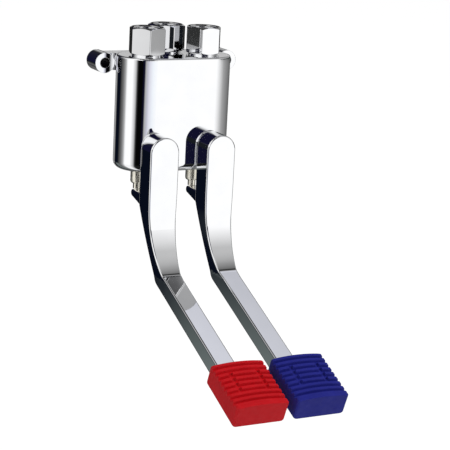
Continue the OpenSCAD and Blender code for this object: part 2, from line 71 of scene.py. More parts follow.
# Levers: faces and hub, bend, knee, leg, tongue with its eye, heel and foot plate
FRONT_Y, REAR_Y = -72.0, -52.8
HUB_R, HUB_Z = 11.6, -59.6
PIVOT = (-44.0, -70.0)
BEND_Z, BEND_R, BEND_TURN = -104.0, 58.0, 48.8
REAR_Z, REAR_SLOPE = -102.0, 25.0
KNEE_R, KNEE_SETTLE_L = 9.0, 22.0
LEG_SLOPE, LEG_T, LEG_W, LEG_L, RIB_L = 22.0, 13.0, 15.2, 114.5, 25.2
TAPER_Z = -87.0
CREASE_SOFT_L = 1.8
EDGE_FRONT_R, EDGE_REAR_R = 1.3, 1.6
TONGUE_W, EYE_R, BUSH_R = 12.0, 8.0, 5.5
HEEL_R, HEEL_Y, HEEL_TOP, HEEL_W, HEEL_EDGE = 2.8, -24.5, -96.8, 9.0, 0.8
PLATE_T, PLATE_MARGIN, PLATE_SINK, PLATE_CLEAR = 6.0, 3.0, 0.3, 0.15

# Pads
PAD_W, PAD_L, PAD_T, PAD_RISE, PAD_CROWN = 39.5, 45.0, 18.6, 13.8, 1.8
RIBS, GROOVE_W, GROOVE_DEPTH = 8, 2.2, 2.0
RAIL_INNER, RAIL_OUTER, RAIL_WALL = PAD_W * 0.225, PAD_W * 0.285, 0.5
RAIL_START, RAIL_END, RAIL_RUNOUT = PAD_L * 0.2, PAD_L * 0.66, 1.0

# Body, connectors, glands and springs
EAR_X, EAR_HOLE_R = 51.0, 3.9
BODY_BOTTOM = -79.0
INLET_Y, OUTLET_Y, VALVE_Y = -31.5, -14.5, -22.5
CONNECTOR_TOP, THREAD_FLOOR, THREAD_R = 28.6, 13.6, 9.3
HEX_R, HEX_CORNER_R, HEX_LOW, HEX_HIGH = 25 / math.sqrt(3), 0.7, -20, 40
HOT_HEX_TURN, COLD_HEX_TURN, OUTLET_HEX_TURN = 15.5, 1.0, 30.0
GLAND_R, GLAND_TOP = 9.5, -67.0
NOSE_R, NOSE_BOTTOM = 5.2, -92.5
STEM_BORE_R, SEAL_R, SEAL_Z = 3.05, 4.95, -70.2
WIRE_R, COIL_TURNS = 0.6, 7


def sin(a):
    return math.sin(math.radians(a))


def cos(a):
    return math.cos(math.radians(a))


# Side view of a lever, as (y, z)
LEG_DIR = Vector((-cos(LEG_SLOPE), -sin(LEG_SLOPE)))
LEG_UP = Vector((-sin(LEG_SLOPE), cos(LEG_SLOPE)))
REAR_DIR = Vector((-sin(REAR_SLOPE), -cos(REAR_SLOPE)))
CREASE = Vector((FRONT_Y - BEND_R + BEND_R * cos(BEND_TURN), BEND_Z - BEND_R * sin(BEND_TURN)))
TAPER_END = CREASE.y - LEG_T / 4
TAPER_DROP = HUB_R - LEG_W / 2
TAPER_R = ((TAPER_Z - TAPER_END) ** 2 + TAPER_DROP ** 2) / (2 * TAPER_DROP)


# Mesh helpers: pieces are made in millimetres and scaled once, by dress()

def raw(name, verts, faces):
    mesh = bpy.data.meshes.new(name)
    mesh.from_pydata([tuple(v) for v in verts], [], faces)
    bm = bmesh.new()
    bm.from_mesh(mesh)
    bmesh.ops.remove_doubles(bm, verts=bm.verts, dist=1e-4)
    bmesh.ops.recalc_face_normals(bm, faces=bm.faces)
    bm.to_mesh(mesh)
    bm.free()
    obj = bpy.data.objects.new(name, mesh)
    bpy.context.scene.collection.objects.link(obj)
    return obj


def prism(points, axis, lo, hi):
    """Closed prism of a 2-D outline along X (points are y, z) or Z (points are x, y)."""
    order = {"x": (2, 0, 1), "z": (0, 1, 2)}[axis]
    n = len(points)
    verts = [[(*p, t)[k] for k in order] for t in (lo, hi) for p in points]
    faces = [tuple(range(n)), tuple(range(2 * n - 1, n - 1, -1))]
    faces += [(i, (i + 1) % n, n + (i + 1) % n, n + i) for i in range(n)]
    return raw("prism", verts, faces)


def plank(half, y0, y1, lo, hi):
    """Upright prism of a rectangle about the middle line x = 0."""
    return prism([(-half, y0), (half, y0), (half, y1), (-half, y1)], "z", lo, hi)


def arc(centre, r, a0, a1, n):
    angles = [a0 + (a1 - a0) * i / n for i in range(n + 1)]
    return [(centre[0] + r * cos(a), centre[1] + r * sin(a)) for a in angles]


def ring_points(centre, r, n=64):
    return arc(centre, r, 0, 360, n)[:-1]


def bake(obj):
    depsgraph = bpy.context.evaluated_depsgraph_get()
    mesh = bpy.data.meshes.new_from_object(obj.evaluated_get(depsgraph))
    obj.modifiers.clear()
    old = obj.data
    obj.data = mesh
    bpy.data.meshes.remove(old)
    return obj


def boolean(obj, operation, *others):
    for other in others:
        mod = obj.modifiers.new("boolean", "BOOLEAN")
        mod.operation = operation
        mod.solver = "EXACT"
        mod.object = other
        bake(obj)
        bpy.data.objects.remove(other)
    return obj


def bevel(obj, width, segments, angle):
    mod = obj.modifiers.new("bevel", "BEVEL")
    mod.width = width
    mod.segments = segments
    mod.limit_method = "ANGLE"
    mod.angle_limit = math.radians(angle)
    mod.miter_outer = "MITER_ARC"
    return bake(obj)


def shade(obj, angle):
    """Smooth shading, sharp where two faces meet at more than the angle."""
    obj.data.shade_smooth()
    obj.data.set_sharp_from_angle(angle=math.radians(angle))
    mod = obj.modifiers.new("normals", "WEIGHTED_NORMAL")
    mod.keep_sharp = True
    mod.weight = 80
    return bake(obj)


def dress(obj, name, node, material):
    """Scales a piece to metres, gives it its finish and lets it stand for a CAD node."""
    obj.data.transform(Matrix.Scale(MM, 4))
    obj.name = name
    obj.data.name = name
    obj.data.materials.clear()
    obj.data.materials.append(material)
    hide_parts(node)
    return obj


def settle(obj, name, body, node, material):
    """Dresses a rigid piece and lets it ride on a body."""
    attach(dress(obj, name, node, material), body)
    return obj


def copy_of(node):
    """A copy of a CAD node's mesh in millimetres, its flat faces joined up."""
    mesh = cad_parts[node].data.copy()
    mesh.transform(Matrix.Scale(1 / MM, 4))
    bm = bmesh.new()
    bm.from_mesh(mesh)
    bmesh.ops.remove_doubles(bm, verts=bm.verts, dist=1e-3)
    bmesh.ops.dissolve_limit(bm, angle_limit=math.radians(0.5), verts=bm.verts, edges=bm.edges)
    out = bpy.data.meshes.new(node)
    bm.to_mesh(out)
    bm.free()
    bpy.data.meshes.remove(mesh)
    obj = bpy.data.objects.new(node, out)
    bpy.context.scene.collection.objects.link(obj)
    return obj


# Materials

def tree(name):
    mat = bpy.data.materials.new(name)
    mat.use_nodes = True
    nodes = mat.node_tree.nodes
    return mat, nodes, mat.node_tree.links, nodes["Principled BSDF"]


def noise(nodes, links, scale, detail=3.0, roughness=0.55, stretch=None):
    coords = nodes.new("ShaderNodeTexCoord")
    tex = nodes.new("ShaderNodeTexNoise")
    tex.inputs["Scale"].default_value = scale
    tex.inputs["Detail"].default_value = detail
    tex.inputs["Roughness"].default_value = roughness
    if stretch:
        mapping = nodes.new("ShaderNodeMapping")
        mapping.inputs["Scale"].default_value = stretch
        links.new(coords.outputs["Object"], mapping.inputs["Vector"])
        links.new(mapping.outputs["Vector"], tex.inputs["Vector"])
    else:
        links.new(coords.outputs["Object"], tex.inputs["Vector"])
    return tex.outputs["Fac"]


def ramp(nodes, links, fac, stops):
    """stops: (place, colour or grey value)"""
    node = nodes.new("ShaderNodeValToRGB")
    elements = node.color_ramp.elements
    elements.remove(elements[1])
    elements[0].position = stops[0][0]
    for place, tone in stops:
        element = elements[0] if place == stops[0][0] else elements.new(place)
        element.color = (tone, tone, tone, 1) if isinstance(tone, (int, float)) else (*tone, 1)
    links.new(fac, node.inputs["Fac"])
    return node.outputs["Color"]


def blend_tones(nodes, links, fac, first, second):
    node = nodes.new("ShaderNodeMix")
    node.data_type = "RGBA"
    links.new(fac, node.inputs["Factor"])
    links.new(first, next(s for s in node.inputs if s.name == "A" and s.type == "RGBA"))
    links.new(second, next(s for s in node.inputs if s.name == "B" and s.type == "RGBA"))
    return next(s for s in node.outputs if s.type == "RGBA")


def to_range(nodes, links, value, low, high, start=0.3, end=0.7):
    node = nodes.new("ShaderNodeMapRange")
    node.inputs["From Min"].default_value = start
    node.inputs["From Max"].default_value = end
    node.inputs["To Min"].default_value = low
    node.inputs["To Max"].default_value = high
    links.new(value, node.inputs["Value"])
    return node.outputs["Result"]


def math_node(nodes, kind, operation):
    node = nodes.new(kind)
    node.operation = operation
    return node


def bump(nodes, links, height, shader, strength, distance):
    node = nodes.new("ShaderNodeBump")
    node.inputs["Strength"].default_value = strength
    node.inputs["Distance"].default_value = distance
    links.new(height, node.inputs["Height"])
    links.new(node.outputs["Normal"], shader.inputs["Normal"])
    return node


# Noises as (scale, detail, roughness), bumps as (strength, distance in metres)
SMUDGE, PEEL, PEEL_BUMP = (55, 5, 0.6), (90, 1, 0.4), (0.02, 0.0004)
PLATE_TONES = [(0.3, (0.9, 0.905, 0.92)), (0.7, (0.94, 0.945, 0.955))]
PLATE_ROUGHNESS = (0.02, 0.04)
# Painted shade inside the screw holes: dark tones for their walls, given as bare metal, with more
# roughness and a soft blend at their edge
HOLE_SHADE_TONES = [(0.3, (0.03, 0.028, 0.025)), (0.7, (0.06, 0.055, 0.05))]
HOLE_EXTRA_ROUGHNESS, HOLE_SHADE_EDGE = 0.4, 0.1
WORN_R, WORN_SAMPLES = 0.45, 6


def chrome_material():
    """Bright plate: near-mirror, with faint cloudy wiping marks and a very slight orange peel."""
    mat, nodes, links, shader = tree("chrome_plate")
    shader.inputs["Metallic"].default_value = 1.0
    smudge = noise(nodes, links, *SMUDGE)
    links.new(ramp(nodes, links, smudge, PLATE_TONES), shader.inputs["Base Color"])
    links.new(to_range(nodes, links, smudge, *PLATE_ROUGHNESS), shader.inputs["Roughness"])
    bump(nodes, links, noise(nodes, links, *PEEL), shader, *PEEL_BUMP)
    return mat


def body_material():
    """The same plate on the body: worn round at its edges, with a painted shade inside the screw holes,
    coloured as dark bare metal.
    """
    mat, nodes, links, shader = tree("chrome_plate_body")
    shader.inputs["Metallic"].default_value = 1.0
    coords = nodes.new("ShaderNodeTexCoord")
    fold = math_node(nodes, "ShaderNodeVectorMath", "ABSOLUTE")
    links.new(coords.outputs["Object"], fold.inputs[0])
    flat = math_node(nodes, "ShaderNodeVectorMath", "MULTIPLY_ADD")
    flat.inputs[1].default_value = (1, 0, 1)
    flat.inputs[2].default_value = (-EAR_X * MM, 0, 0)
    links.new(fold.outputs[0], flat.inputs[0])
    from_axis = math_node(nodes, "ShaderNodeVectorMath", "LENGTH")
    links.new(flat.outputs[0], from_axis.inputs[0])
    # Painted shade: within the screw holes' radius the walls are coloured dark
    in_hole = to_range(nodes, links, from_axis.outputs["Value"], 1.0, 0.0,
                       EAR_HOLE_R * MM, (EAR_HOLE_R + HOLE_SHADE_EDGE) * MM)
    smudge = noise(nodes, links, *SMUDGE)
    plate = ramp(nodes, links, smudge, PLATE_TONES)
    hole_shade = ramp(nodes, links, smudge, HOLE_SHADE_TONES)
    links.new(blend_tones(nodes, links, in_hole, plate, hole_shade), shader.inputs["Base Color"])
    wiped = math_node(nodes, "ShaderNodeMath", "MULTIPLY_ADD")
    wiped.inputs[1].default_value = HOLE_EXTRA_ROUGHNESS
    links.new(in_hole, wiped.inputs[0])
    links.new(to_range(nodes, links, smudge, *PLATE_ROUGHNESS), wiped.inputs[2])
    links.new(wiped.outputs[0], shader.inputs["Roughness"])
    worn = nodes.new("ShaderNodeBevel")
    worn.samples = WORN_SAMPLES
    worn.inputs["Radius"].default_value = WORN_R * MM
    peel = bump(nodes, links, noise(nodes, links, *PEEL), shader, *PEEL_BUMP)
    links.new(worn.outputs["Normal"], peel.inputs["Normal"])
    return mat


METAL_CLOUD, METAL_LINES, METAL_BUMP = (120, 4), (60, 4, 0.6), (0.25, 0.00012)


def metal_material(name, dark, light, low, high, stretch):
    """Turned or drawn metal: fine lines along the cut, with a slight change of tone."""
    mat, nodes, links, shader = tree(name)
    shader.inputs["Metallic"].default_value = 1.0
    lines = noise(nodes, links, *METAL_LINES, stretch)
    tone = ramp(nodes, links, noise(nodes, links, *METAL_CLOUD), [(0.3, dark), (0.7, light)])
    links.new(tone, shader.inputs["Base Color"])
    links.new(to_range(nodes, links, lines, low, high), shader.inputs["Roughness"])
    bump(nodes, links, lines, shader, *METAL_BUMP)
    return mat


BLOOM, SATIN, PORES, PORE_BUMP = (45, 6, 0.65), (260, 4), (900, 3, 0.6), (0.25, 0.00015)


def rubber_material(name, dark, light, low=0.42, high=0.6):
    """Moulded rubber: satin, with fine pores and a slight bloom."""
    mat, nodes, links, shader = tree(name)
    bloom = noise(nodes, links, *BLOOM)
    links.new(ramp(nodes, links, bloom, [(0.28, dark), (0.72, light)]), shader.inputs["Base Color"])
    links.new(to_range(nodes, links, noise(nodes, links, *SATIN), low, high), shader.inputs["Roughness"])
    shader.inputs["Specular IOR Level"].default_value = 0.2
    bump(nodes, links, noise(nodes, links, *PORES), shader, *PORE_BUMP)
    return mat


GRAIN, GRAIN_BUMP = (6, 0.7), (0.3, 0.0001)


def plain_material(name, dark, light, low, high, scale):
    """Pressed fibre or moulded nylon: matt, with a mottled tone and a fine grain."""
    mat, nodes, links, shader = tree(name)
    grain = noise(nodes, links, scale, *GRAIN)
    links.new(ramp(nodes, links, grain, [(0.3, dark), (0.7, light)]), shader.inputs["Base Color"])
    links.new(to_range(nodes, links, grain, low, high), shader.inputs["Roughness"])
    bump(nodes, links, grain, shader, *GRAIN_BUMP)
    return mat


# How the fine lines are stretched: round a turned piece, along a drawn one
TURNED, DRAWN = (1, 1, 30), (1, 25, 25)
CHROME = chrome_material()
BRASS = metal_material("turned_brass", (0.55, 0.43, 0.22), (0.72, 0.6, 0.36), 0.22, 0.4, TURNED)
STEEL = metal_material("drawn_steel", (0.5, 0.5, 0.52), (0.64, 0.64, 0.66), 0.2, 0.38, DRAWN)
NICKEL = metal_material("turned_pale_brass", (0.84, 0.8, 0.68), (0.93, 0.9, 0.81), 0.12, 0.22, TURNED)
RED = rubber_material("red_rubber_skin", (0.5, 0.003, 0.008), (0.6, 0.006, 0.012), 0.5, 0.7)
BLUE = rubber_material("blue_rubber_skin", (0.012, 0.015, 0.19), (0.018, 0.022, 0.25), 0.5, 0.7)
BLACK = rubber_material("black_rubber_skin", (0.012, 0.012, 0.012), (0.03, 0.03, 0.03))
FIBRE = plain_material("pressed_fibre", (0.1, 0.018, 0.01), (0.17, 0.035, 0.018), 0.6, 0.85, 400)
NYLON = plain_material("moulded_nylon", (0.72, 0.72, 0.66), (0.82, 0.82, 0.77), 0.35, 0.5, 250)

# Every CAD node's finish, by the start of its name
FINISH = {
    "valve_body": body_material(), "connector_washers": FIBRE,
    "inlet_connector": CHROME, "outlet_connector": CHROME, "inlet_strainer": STEEL,
    "valve_seat": BRASS, "valve_stem": NICKEL, "valve_washer": BLACK, "return_spring": STEEL,
    "gland": NICKEL, "stem_seal": BLACK, "seal_retainer": BRASS,
    "pivot_pin": STEEL, "pivot_grub_screw": STEEL, "pivot_bush": BRASS, "pivot_spacers": NYLON,
    "pedal_lever": CHROME, "pedal_pad_hot": RED, "pedal_pad_cold": BLUE,
}
for name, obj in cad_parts.items():
    obj.data.materials.clear()
    obj.data.materials.append(next(m for stem, m in FINISH.items() if name.startswith(stem)))


# Levers: a loft of rounded sections down the bend, with the round top swept about the hub's centre

def half_width(z):
    if z >= TAPER_Z:
        return HUB_R
    if z <= TAPER_END:
        return LEG_W / 2
    return HUB_R - TAPER_R + math.sqrt(TAPER_R ** 2 - (TAPER_Z - z) ** 2)


def cross(a, b):
    return a[0] * b[1] - a[1] * b[0]


def lever_stations():
    """Pairs of points in the side view: on the front face and on the rear face."""
    hub_steps, bend_steps, soft_steps, settle_steps = 10, 44, 10, 12
    pairs = []
    for i in range(hub_steps + 1):
        t = i / hub_steps
        front = Vector((FRONT_Y, HUB_Z + (BEND_Z - HUB_Z) * t))
        pairs.append((front, Vector((REAR_Y, HUB_Z + (REAR_Z - HUB_Z) * t))))

    # The rear face runs straight to a rounded knee and on along the leg's underside
    rear_start = Vector((REAR_Y, REAR_Z))
    under = CREASE - LEG_T * LEG_UP
    knee_along = cross(under - rear_start, LEG_DIR) / cross(REAR_DIR, LEG_DIR)
    knee = rear_start + knee_along * REAR_DIR
    turn = 90 - LEG_SLOPE - REAR_SLOPE
    reach = KNEE_R * math.tan(math.radians(turn / 2))
    arc_start = knee_along - reach
    arc_l = KNEE_R * math.radians(turn)
    normal = Vector((REAR_DIR.y, -REAR_DIR.x))
    arc_centre = knee - reach * REAR_DIR + KNEE_R * normal

    def rear_at(s):
        if s <= arc_start:
            return rear_start + s * REAR_DIR
        s -= arc_start
        if s <= arc_l:
            a = s / KNEE_R
            return arc_centre - KNEE_R * math.cos(a) * normal + KNEE_R * math.sin(a) * REAR_DIR
        return knee + (reach + s - arc_l) * LEG_DIR

    # The front face bends, turns through a small hollow at the crease, and runs down the leg
    soft_l = CREASE_SOFT_L
    rear_mid = arc_start + arc_l / 2
    bend_end = BEND_TURN - math.degrees(soft_l / BEND_R)
    for i in range(1, bend_steps + 1):
        a = bend_end * i / bend_steps
        front = Vector((FRONT_Y - BEND_R + BEND_R * cos(a), BEND_Z - BEND_R * sin(a)))
        pairs.append((front, rear_at((rear_mid - soft_l) * i / bend_steps)))
    soft_start, soft_end = pairs[-1][0], CREASE + soft_l * LEG_DIR
    for i in range(1, soft_steps + 1):
        t = i / soft_steps
        front = soft_start * (1 - t) ** 2 + CREASE * 2 * t * (1 - t) + soft_end * t ** 2
        pairs.append((front, rear_at(rear_mid + soft_l * (2 * t - 1))))
    knee_to_under = (under - knee).dot(LEG_DIR)
    rear_end = arc_start + arc_l + knee_to_under - reach + KNEE_SETTLE_L
    for i in range(1, settle_steps + 1):
        t = i / settle_steps
        front = CREASE + (soft_l + (KNEE_SETTLE_L - soft_l) * t) * LEG_DIR
        pairs.append((front, rear_at(rear_mid + soft_l + (rear_end - rear_mid - soft_l) * t)))
    for s, drop in ((LEG_L * 0.6, LEG_T), (LEG_L, LEG_T), (LEG_L + RIB_L, PAD_T - PAD_RISE)):
        front = CREASE + s * LEG_DIR
        pairs.append((front, front - drop * LEG_UP))
    return pairs


def half_section(front, rear, n=10):
    """Right half of one section, from the middle of the front to the middle of the rear: (x, y, z)."""
    along = (rear - front).normalized()
    depth = (rear - front).length
    most = depth * 0.4
    r_front, r_rear = min(EDGE_FRONT_R, most), min(EDGE_REAR_R, most)
    quarter = [90 * i / n for i in range(n + 1)]
    marks = [(None, 0.0)]
    marks += [(r_front * (1 - cos(90 - a)), r_front * (1 - sin(90 - a))) for a in quarter]
    marks += [(0.0, r_front + (depth - r_front - r_rear) * t) for t in (0.25, 0.5, 0.75)]
    marks += [(r_rear * (1 - cos(a)), depth - r_rear * (1 - sin(a))) for a in quarter]
    marks += [(None, depth)]
    points = []
    for inset, d in marks:
        p = front + along * d
        points.append((0.0 if inset is None else half_width(p.y) - inset, p.x, p.y))
    return points


def lever_shell(x0, cap_steps=40):
    verts, faces, loops = [], [], []
    halves = [half_section(front, rear) for front, rear in lever_stations()]
    for half in halves:
        start = len(verts)
        verts += [(x0 + x, y, z) for x, y, z in half]
        verts += [(x0 - x, y, z) for x, y, z in reversed(half[1:-1])]
        loops.append(list(range(start, len(verts))))
    n = len(loops[0])
    for a, b in zip(loops, loops[1:]):
        faces += [(a[i], a[(i + 1) % n], b[(i + 1) % n], b[i]) for i in range(n)]
    faces.append(tuple(loops[-1]))
    m = len(halves[0])
    rows = []
    for k in range(cap_steps + 1):
        a = 180 * k / cap_steps
        start = len(verts)
        verts += [(x0 + x * cos(a), y, HUB_Z + x * sin(a)) for x, y, z in halves[0]]
        rows.append(list(range(start, start + m)))
    for a, b in zip(rows, rows[1:]):
        faces += [(a[i], a[i + 1], b[i + 1], b[i]) for i in range(m - 1)]
    return raw("lever", verts, faces)


def eye_outline(r, n=32):
    """Tongue that starts inside the lever and ends in a round eye about the pivot."""
    inside = REAR_Y - 6
    return [(inside, PIVOT[1] + r)] + arc(PIVOT, r, 90, -90, n) + [(inside, PIVOT[1] - r)]


def heel_outline():
    """Arm under the body with a rounded nose below the stem, hollowed at its top corner."""
    nose = arc((HEEL_Y, HEEL_TOP - HEEL_R), HEEL_R, -90, 90, 16)
    rise = HEEL_R / 8
    corner = arc((REAR_Y + 2 * HEEL_R, HEEL_TOP - rise + 2 * HEEL_R), 2 * HEEL_R, -90, -180, 10)
    inside = REAR_Y - HEEL_R
    return nose + corner + [(inside, HEEL_TOP + 2 * HEEL_R), (inside, REAR_Z - 8)]


def on_leg(obj, x0):
    """Moves a piece from the leg's own frame (leg along -Y, top face at z = 0) into place."""
    slope = Matrix.Rotation(math.radians(LEG_SLOPE), 4, "X")
    obj.data.transform(Matrix.Translation((x0, CREASE.x, CREASE.y)) @ slope)
    return obj


def foot_plate(x0):
    y0, y1 = -LEG_L - (PAD_L - PLATE_MARGIN), -LEG_L - PLATE_MARGIN / 2
    return on_leg(plank(PAD_W / 2 - PLATE_MARGIN, y0, y1, -PLATE_SINK, PLATE_T), x0)


def lever(x0, name, body, node):
    obj = lever_shell(x0)
    tongue = prism(eye_outline(EYE_R), "x", x0 - TONGUE_W / 2, x0 + TONGUE_W / 2)
    heel = bevel(prism(heel_outline(), "x", x0 - HEEL_W / 2, x0 + HEEL_W / 2), HEEL_EDGE, 3, 50)
    boolean(obj, "UNION", tongue, heel, foot_plate(x0))
    boolean(obj, "DIFFERENCE", prism(ring_points(PIVOT, BUSH_R), "x", x0 - HUB_R * 2, x0 + HUB_R * 2))
    shade(obj, 12)
    return settle(obj, name, body, node, CHROME)


lever(HOT_X, "lever_hot", "hot_pedal", "pedal_lever_hot")
lever(COLD_X, "lever_cold", "cold_pedal", "pedal_lever_cold")


# Pads: ribbed rubber covers, lofted along the leg, with a pocket for the foot plate

def smooth(t):
    t = min(1.0, max(0.0, t))
    return t * t * (3 - 2 * t)


def groove(d):
    """Depth of the grooves at a distance d along the pad from its rear end."""
    pitch = PAD_L / (RIBS + 1)
    floor_half, wall = GROOVE_W * 0.22, GROOVE_W * 0.45
    deepest = 0.0
    for i in range(1, RIBS + 1):
        away = abs(d - i * pitch + GROOVE_W / 2)
        deepest = max(deepest, 1 - smooth((away - floor_half) / wall))
    return GROOVE_DEPTH * deepest


def pad_loop(d):
    """One closed section of the pad: (x, z) points, counter-clockwise from the bottom middle."""
    round_r, edge_r, end_r, across = 2.0, 1.0, 2.0, 30
    from_front = PAD_L - d
    pull = end_r - math.sqrt(max(0.0, end_r ** 2 - max(0.0, end_r - from_front) ** 2))
    lip = max(edge_r - from_front, edge_r - d, 0.0)
    lip = edge_r - math.sqrt(max(0.0, edge_r ** 2 - lip ** 2))
    half = PAD_W / 2 - pull
    cut = groove(d)

    def top_z(x):
        return PAD_RISE - PAD_CROWN * (x / (PAD_W / 2)) ** 2 - lip

    bottom = PAD_RISE - PAD_T + lip
    side_low, side_top = bottom + round_r, top_z(half) - edge_r - cut
    points = [(0.0, bottom), (half * 0.5, bottom)]
    points += arc((half - round_r, side_low), round_r, -90, 0, 8)
    points += [(half, side_low + (side_top - side_low) * t) for t in (0.33, 0.66)]
    points += [(half - edge_r * (1 - cos(a)), side_top + edge_r * sin(a)) for a in (0, 22.5, 45, 67.5, 90)]
    middle = smooth((d - RAIL_START) / RAIL_RUNOUT) - smooth((d - RAIL_END) / RAIL_RUNOUT)
    for i in range(1, across):
        x = (half - edge_r) * (1 - i / across)
        rail = smooth((abs(x) - RAIL_INNER) / RAIL_WALL) - smooth((abs(x) - RAIL_OUTER) / RAIL_WALL)
        points.append((x, top_z(x) - max(cut, GROOVE_DEPTH * rail * middle)))
    points.append((0.0, top_z(0.0) - cut))
    left = [(-x, z) for x, z in reversed(points[1:-1])]
    return points + left


def pad(x0, name, body, node, material):
    steps = 328
    verts, faces, loops = [], [], []
    for k in range(steps + 1):
        d = PAD_L * k / steps
        start = len(verts)
        verts += [(x, -LEG_L - d, z) for x, z in pad_loop(d)]
        loops.append(list(range(start, len(verts))))
    n = len(loops[0])
    for a, b in zip(loops, loops[1:]):
        faces += [(a[i], b[i], b[(i + 1) % n], a[(i + 1) % n]) for i in range(n)]
    faces += [tuple(loops[0]), tuple(reversed(loops[-1]))]
    obj = raw("pad", verts, faces)
    clear = PLATE_CLEAR
    outside = -LEG_L + 2
    pocket = plank(PAD_W / 2 - PLATE_MARGIN + clear, -LEG_L - PAD_L + PLATE_MARGIN - clear, outside,
                   -PLATE_SINK - clear, PLATE_T + clear)
    leg_cut = plank(LEG_W / 2 + clear, -LEG_L - RIB_L - clear, outside, PAD_RISE - PAD_T - 3, 0.1)
    boolean(obj, "DIFFERENCE", pocket, leg_cut)
    on_leg(obj, x0)
    shade(obj, 40)
    settle(obj, name, body, node, material)
    return obj


pad(HOT_X, "pad_hot", "hot_pedal", "pedal_pad_hot", RED)
pad(COLD_X, "pad_cold", "cold_pedal", "pedal_pad_cold", BLUE)


# Connectors: rounded hex corners and pipe threads

def thread(z, a, pitch, steepness=1.7):
    """Height of a screw thread at the angle a: 0 at its root, 1 at its crest."""
    t = (z / pitch - a / 360) % 1.0
    return min(1.0, max(0.0, 0.5 + steepness * (0.5 - abs(2 * t - 1))))


def thread_cutter(axis, turns=72, pitch=1.8, depth=0.55, mouth=1.0, rows=100):
    """Solid of a threaded bore with an open mouth, a little wider than the CAD bore."""
    verts, faces = [], []
    bore_r = THREAD_R + 0.03
    low, high = THREAD_FLOOR + 1.2, CONNECTOR_TOP + 0.4
    for k in range(rows + 1):
        z = low + (high - low) * k / rows
        flare = THREAD_R + z - (CONNECTOR_TOP - mouth)
        for j in range(turns):
            a = 360 * j / turns
            r = max(bore_r + depth * thread(z, a, pitch), flare)
            verts.append((axis[0] + r * cos(a), axis[1] + r * sin(a), z))
    for k in range(rows):
        for j in range(turns):
            i, m = k * turns + j, k * turns + (j + 1) % turns
            faces.append((i, m, m + turns, i + turns))
    faces += [tuple(range(turns - 1, -1, -1)), tuple(range(rows * turns, rows * turns + turns))]
    return raw("thread", verts, faces)


def hex_outline(axis, turn, r, corner_r):
    out = r - corner_r / cos(30)
    points = []
    for k in range(6):
        a = turn + 60 * k
        points += arc((axis[0] + out * cos(a), axis[1] + out * sin(a)), corner_r, a - 30, a + 30, 6)
    return points


def connector(node, name, axis, turn):
    obj = copy_of(node)
    boolean(obj, "INTERSECT", prism(hex_outline(axis, turn, HEX_R, HEX_CORNER_R), "z", HEX_LOW, HEX_HIGH))
    boolean(obj, "DIFFERENCE", thread_cutter(axis))
    shade(obj, 24)
    return settle(obj, name, "valve", node, CHROME)


connector("inlet_connector_hot", "connector_hot", (HOT_X, INLET_Y), HOT_HEX_TURN)
connector("inlet_connector_cold", "connector_cold", (COLD_X, INLET_Y), COLD_HEX_TURN)
connector("outlet_connector", "connector_outlet", (0.0, OUTLET_Y), OUTLET_HEX_TURN)


# Springs and glands: coils of wire, and turned plugs with a threaded nose

def spring(x0, name, node):
    """Coil of round wire, standing from the foot to the head of the CAD spring."""
    low, high = (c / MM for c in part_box(node))
    coil_r = (high.x - low.x) / 2 - WIRE_R
    rings, sides = COIL_TURNS * 40, 14
    verts, faces = [], []
    for k in range(rings + 1):
        t = k / rings
        a = 360 * COIL_TURNS * t
        z = low.z + WIRE_R + (high.z - low.z - 2 * WIRE_R) * t
        for i in range(sides):
            b = 360 * i / sides
            r = coil_r + WIRE_R * cos(b)
            verts.append((x0 + r * cos(a), VALVE_Y + r * sin(a), z + WIRE_R * sin(b)))
    for k in range(rings):
        a, b = k * sides, (k + 1) * sides
        faces += [(a + i, a + (i + 1) % sides, b + (i + 1) % sides, b + i) for i in range(sides)]
    faces += [tuple(range(sides)), tuple(range(rings * sides, (rings + 1) * sides))]
    obj = raw("spring", verts, faces)
    shade(obj, 40)
    dress(obj, name, node, STEEL)
    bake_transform(obj)
    return obj


spring(HOT_X, "coil_spring_hot", "return_spring_hot")
spring(COLD_X, "coil_spring_cold", "return_spring_cold")


def lathe(axis, loop, turns=72):
    """Closed ring swept about an upright axis; loop(a) gives its (radius, z) points at the angle a."""
    verts, faces = [], []
    for j in range(turns):
        a = 360 * j / turns
        points = loop(a)
        n = len(points)
        verts += [(axis[0] + r * cos(a), axis[1] + r * sin(a), z) for r, z in points]
    for j in range(turns):
        k = (j + 1) % turns
        faces += [(j * n + i, j * n + (i + 1) % n, k * n + (i + 1) % n, k * n + i) for i in range(n)]
    return raw("ring", verts, faces)


def gland(x0, name, node):
    """Screwed plug with a threaded nose, its end rounded over."""
    end_r, pitch, depth, rows = 1.8, 1.0, 0.16, 88
    chamfer, undercut = 0.5, 0.6
    first, last = BODY_BOTTOM - undercut, NOSE_BOTTOM + end_r

    def loop(a):
        points = [(GLAND_R, GLAND_TOP), (GLAND_R, BODY_BOTTOM + chamfer),
                  (GLAND_R - chamfer, BODY_BOTTOM), (NOSE_R, BODY_BOTTOM)]
        for i in range(rows + 1):
            z = first + (last - first) * i / rows
            points.append((NOSE_R - depth + depth * thread(z, a, pitch), z))
        for t in range(15, 91, 15):
            points.append((NOSE_R - depth - end_r + end_r * cos(t), last - end_r * sin(t)))
        points += [(STEM_BORE_R, NOSE_BOTTOM), (STEM_BORE_R, SEAL_Z)]
        return points + [(SEAL_R, SEAL_Z), (SEAL_R, GLAND_TOP)]

    obj = lathe((x0, VALVE_Y), loop)
    shade(obj, 35)
    return settle(obj, name, "valve", node, NICKEL)


gland(HOT_X, "gland_plug_hot", "gland_hot")
gland(COLD_X, "gland_plug_cold", "gland_cold")


# Studio: white floor and world, a dome of pale and dark panels that only reflections see, two soft lights
WORLD_SOFT, WORLD_WHITE = 0.32, 1.0
FLOOR_SIZE, FLOOR_DROP = 40, 0.05
FLOOR_TONE, FLOOR_ROUGHNESS, FLOOR_GLOW, FLOOR_GLOW_SHARE = 0.9, 0.9, 1.12, 0.85


